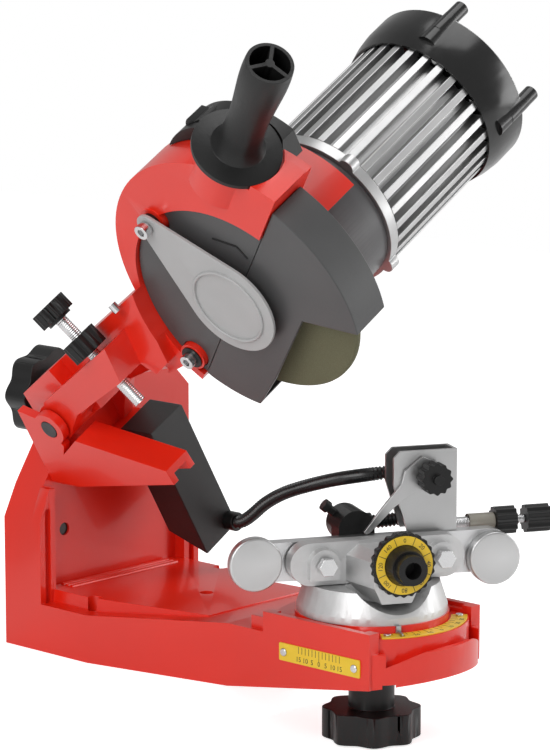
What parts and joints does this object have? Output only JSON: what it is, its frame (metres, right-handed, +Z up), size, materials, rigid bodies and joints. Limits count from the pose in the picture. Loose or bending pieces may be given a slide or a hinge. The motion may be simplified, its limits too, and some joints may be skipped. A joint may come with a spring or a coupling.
{
  "type": "bench chain grinder",
  "caption": "Bench grinder for saw chain: tilting motor head on a hinged arm over a swivelling, rocking chain vise with dial and stop.",
  "frame": {"origin": "on the bench, midway between the two rear bench bolts", "axes": "+Z up, +Y towards the column at the rear, X across the machine along the bolts"},
  "size_m": [0.2937, 0.3426, 0.4245],
  "materials": {
    "red_paint": "gloss red enamel on a casting",
    "black_plastic": "moulded, satin",
    "dark_cover": "satin dark grey",
    "box_grey": "satin near-black",
    "cast_aluminium": "blasted casting",
    "machined_aluminium": "turned and milled",
    "chrome_steel": "bright plated",
    "steel": "turned, oiled",
    "yellow_plate": "printed yellow scale",
    "black_rubber": "corrugated sleeve",
    "abrasive": "bonded abrasive",
    "visor_plastic": "frosted clear",
    "sleeve_plastic": "warm grey",
    "copper_iron": "laminations and windings"
  },
  "bodies": {
    "bed": {"base_casting": "red_paint", "side_scale": "yellow_plate", "side_scale_screws": "chrome_steel", "tilt_washer": "steel", "hydraulic_hose": "black_rubber"},
    "cradle": {"vise_cradle": "red_paint", "arc_scale": "yellow_plate", "arc_scale_screws": "chrome_steel", "clamp_washer": "steel"},
    "vise": {"turret": "cast_aluminium", "angle_pointer": "steel", "clamp_stud": "steel", "rear_jaw": "machined_aluminium", "jaw_guide_bolts": "chrome_steel", "roller_pins": "steel", "stop_channel": "cast_aluminium", "stop_sleeve": "sleeve_plastic", "slave_cylinder": "cast_aluminium", "bleed_nipple": "steel"},
    "clamp_grip": {"clamp_knob": "black_plastic"},
    "moving_jaw": {"front_jaw": "cast_aluminium"},
    "dial": {"width_dial": "black_plastic", "dial_face": "yellow_plate"},
    "left_roller": {"chain_roller_left": "chrome_steel"},
    "right_roller": {"chain_roller_right": "chrome_steel"},
    "pawl": {"chain_stop": "chrome_steel"},
    "pawl_grip": {"stop_knob": "black_plastic"},
    "stop_lock": {"stop_lock_knob": "black_plastic"},
    "stop_adjuster": {"stop_screw": "black_plastic"},
    "bracket": {"tilt_bracket": "red_paint", "tilt_stud": "steel", "pivot_pin": "steel", "hydraulic_box": "box_grey", "hose_gland": "steel", "master_cylinder": "steel", "return_spring": "steel"},
    "tilt_grip": {"tilt_knob": "black_plastic"},
    "head": {"head_casting": "red_paint", "wheel_cover": "dark_cover", "wheel_guard": "black_plastic", "guard_screws": "chrome_steel", "guard_washers": "black_rubber", "bearings": "steel", "stator": "copper_iron", "motor_bell": "black_plastic", "motor_ring": "machined_aluminium", "motor_body": "machined_aluminium", "motor_cap": "black_plastic", "handle": "black_plastic", "switch_housing": "black_plastic"},
    "eye_shield": {"visor": "visor_plastic"},
    "depth_adjuster": {"depth_screw": "black_plastic"},
    "depth_lock": {"depth_lock_knob": "black_plastic"},
    "wheel_shaft": {"spindle": "steel", "grinding_wheel": "abrasive", "wheel_flanges": "steel", "wheel_nut": "steel", "rotor": "copper_iron", "cooling_fan": "black_plastic"},
    "rocker": {"switch_rocker": "black_plastic"}
  },
  "joints": [
    {"name": "cradle_rock", "type": "hinge", "parent": "bed", "child": "cradle", "pos_m": [0, -0.175, 0.1147], "axis": [1, 0, 0], "range_deg": [-15, 15], "deforming": ["hydraulic_hose"]},
    {"name": "turret_turn", "type": "hinge", "parent": "cradle", "child": "vise", "pos_m": [0, -0.175, 0.05], "axis": [0, 0, 1], "range_deg": [-5, 65], "deforming": ["hydraulic_hose"]},
    {"name": "clamp_grip_turn", "type": "hinge", "parent": "vise", "child": "clamp_grip", "pos_m": [0, -0.175, -0.0175], "axis": [0, 0, 1], "continuous": true},
    {"name": "jaw_slide", "type": "slide", "parent": "vise", "child": "moving_jaw", "axis": [-0.5, -0.866, 0], "range_m": [0, 0.0015]},
    {"name": "dial_turn", "type": "hinge", "parent": "moving_jaw", "child": "dial", "pos_m": [-0.01567, -0.21214, 0.0844], "axis": [-0.5, -0.866, 0], "range_deg": [0, 270]},
    {"name": "left_roller_spin", "type": "hinge", "parent": "vise", "child": "left_roller", "pos_m": [-0.06385, -0.1416, 0.0818], "axis": [-0.5, -0.866, 0], "continuous": true},
    {"name": "right_roller_spin", "type": "hinge", "parent": "vise", "child": "right_roller", "pos_m": [0.06259, -0.2146, 0.0758], "axis": [-0.5, -0.866, 0], "continuous": true},
    {"name": "pawl_lift", "type": "hinge", "parent": "vise", "child": "pawl", "pos_m": [0.03193, -0.1917, 0.126], "axis": [0.5, 0.866, 0], "range_deg": [0, 25]},
    {"name": "pawl_grip_turn", "type": "hinge", "parent": "vise", "child": "pawl_grip", "pos_m": [0.02868, -0.19733, 0.126], "axis": [-0.5, -0.866, 0], "continuous": true},
    {"name": "stop_lock_turn", "type": "hinge", "parent": "vise", "child": "stop_lock", "pos_m": [0.08683, -0.20261, 0.0926], "axis": [0.866, -0.5, 0], "continuous": true},
    {"name": "stop_adjust", "type": "slide", "parent": "vise", "child": "stop_adjuster", "axis": [0.866, -0.5, 0], "range_m": [-0.006, 0.008]},
    {"name": "head_tilt", "type": "hinge", "parent": "bed", "child": "bracket", "pos_m": [-0.012, 0.037, 0.148], "axis": [0, 1, 0], "range_deg": [-30, 5], "deforming": ["hydraulic_hose"]},
    {"name": "tilt_grip_turn", "type": "hinge", "parent": "bracket", "child": "tilt_grip", "pos_m": [-0.012, 0.085, 0.148], "axis": [0, 1, 0], "continuous": true},
    {"name": "head_lower", "type": "hinge", "parent": "bracket", "child": "head", "pos_m": [-0.04249, 0.019, 0.15897], "axis": [0.8607, 0, 0.509], "range_deg": [0, 20.5], "stiffness_Nm_per_rad": 22, "springref_deg": -24.06},
    {"name": "visor_swing", "type": "hinge", "parent": "head", "child": "eye_shield", "pos_m": [-0.12133, -0.1149, 0.27952], "axis": [0.8607, 0, 0.509], "range_deg": [-15, 30]},
    {"name": "depth_set", "type": "slide", "parent": "head", "child": "depth_adjuster", "axis": [-0.4255, 0.549, 0.7194], "range_m": [0, 0.012]},
    {"name": "depth_lock_turn", "type": "hinge", "parent": "head", "child": "depth_lock", "pos_m": [-0.09541, -0.0355, 0.20131], "axis": [-0.4255, 0.549, 0.7194], "continuous": true},
    {"name": "wheel_spin", "type": "hinge", "parent": "head", "child": "wheel_shaft", "pos_m": [-0.07895, -0.1543, 0.24813], "axis": [0.8607, 0, 0.509], "continuous": true},
    {"name": "switch_rock", "type": "hinge", "parent": "head", "child": "rocker", "pos_m": [-0.11045, -0.1483, 0.33871], "axis": [0.8607, 0, 0.509], "range_deg": [-10, 10]}
  ],
  "couplings": [
    {"joint": "dial_turn", "follows": "jaw_slide", "rad_per_m": 3141.3}
  ]
}
